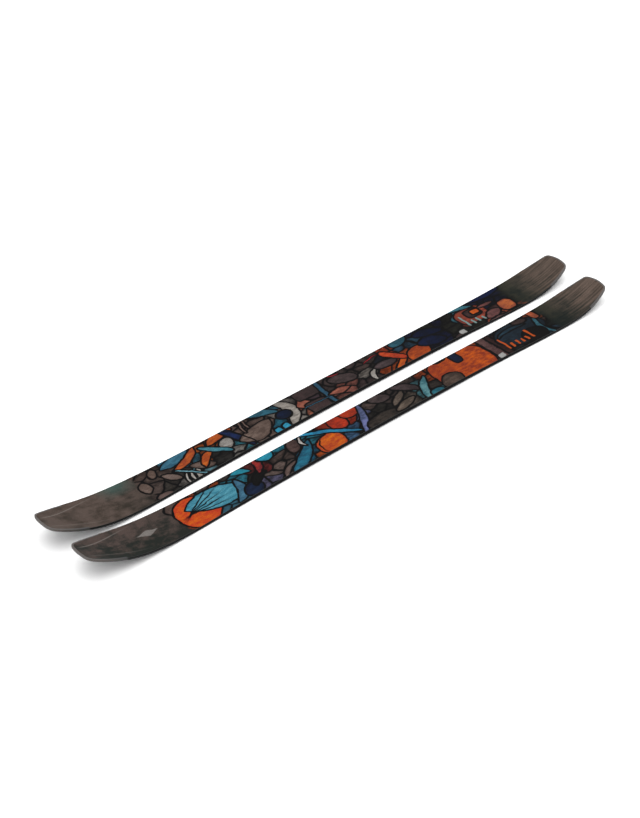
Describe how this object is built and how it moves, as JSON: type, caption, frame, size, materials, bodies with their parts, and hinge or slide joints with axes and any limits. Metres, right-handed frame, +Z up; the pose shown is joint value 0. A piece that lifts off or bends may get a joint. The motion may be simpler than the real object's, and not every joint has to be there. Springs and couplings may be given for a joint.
{
  "type": "pair of alpine skis",
  "caption": "Pair of wide all-mountain alpine skis without bindings, with upturned tips, lightly raised tails, steel edges and a painted abstract top print.",
  "frame": {"origin": "on the ground, midway between the two skis and midway along them", "axes": "+X to the tips, +Y to the skier's left, +Z up"},
  "size_m": [1.8, 0.274, 0.0726],
  "materials": {
    "sintered_base": "matt, stone ground",
    "edge_steel": "ground",
    "rubber_foil": "matt",
    "glass_laminate": "resin-wet glass fibre, dark",
    "sidewall_plastic": "satin, planed",
    "poplar_wood": "planed",
    "ash_wood": "planed",
    "plate_alloy": "satin",
    "carbon_tape": "resin-wet carbon fibre",
    "spacer_plastic": "matt",
    "rim_plastic": "satin, moulded",
    "left_topsheet_print": "satin film over a painted abstract print in teal, orange, crimson and dark blue",
    "right_topsheet_print": "satin film over a painted abstract print in dark blue, teal, salmon and orange"
  },
  "bodies": {
    "left_ski": {"left_base": "sintered_base", "left_inner_edge": "edge_steel", "left_outer_edge": "edge_steel", "left_inner_edge_foil": "rubber_foil", "left_outer_edge_foil": "rubber_foil", "left_lower_laminate": "glass_laminate", "left_inner_sidewall": "sidewall_plastic", "left_outer_sidewall": "sidewall_plastic", "left_core_poplar": "poplar_wood", "left_core_ash": "ash_wood", "left_binding_plate": "plate_alloy", "left_carbon_strip": "carbon_tape", "left_tip_spacer": "spacer_plastic", "left_tail_spacer": "spacer_plastic", "left_tip_rim": "rim_plastic", "left_tail_rim": "rim_plastic", "left_upper_laminate": "glass_laminate", "left_topsheet": "left_topsheet_print"},
    "right_ski": {"right_base": "sintered_base", "right_inner_edge": "edge_steel", "right_outer_edge": "edge_steel", "right_inner_edge_foil": "rubber_foil", "right_outer_edge_foil": "rubber_foil", "right_lower_laminate": "glass_laminate", "right_inner_sidewall": "sidewall_plastic", "right_outer_sidewall": "sidewall_plastic", "right_core_poplar": "poplar_wood", "right_core_ash": "ash_wood", "right_binding_plate": "plate_alloy", "right_carbon_strip": "carbon_tape", "right_tip_spacer": "spacer_plastic", "right_tail_spacer": "spacer_plastic", "right_tip_rim": "rim_plastic", "right_tail_rim": "rim_plastic", "right_upper_laminate": "glass_laminate", "right_topsheet": "right_topsheet_print"}
  },
  "joints": [
    {"name": "right_ski_lift", "type": "slide", "parent": "left_ski", "child": "right_ski", "axis": [0, 0, 1], "range_m": [0, 0.3]}
  ]
}
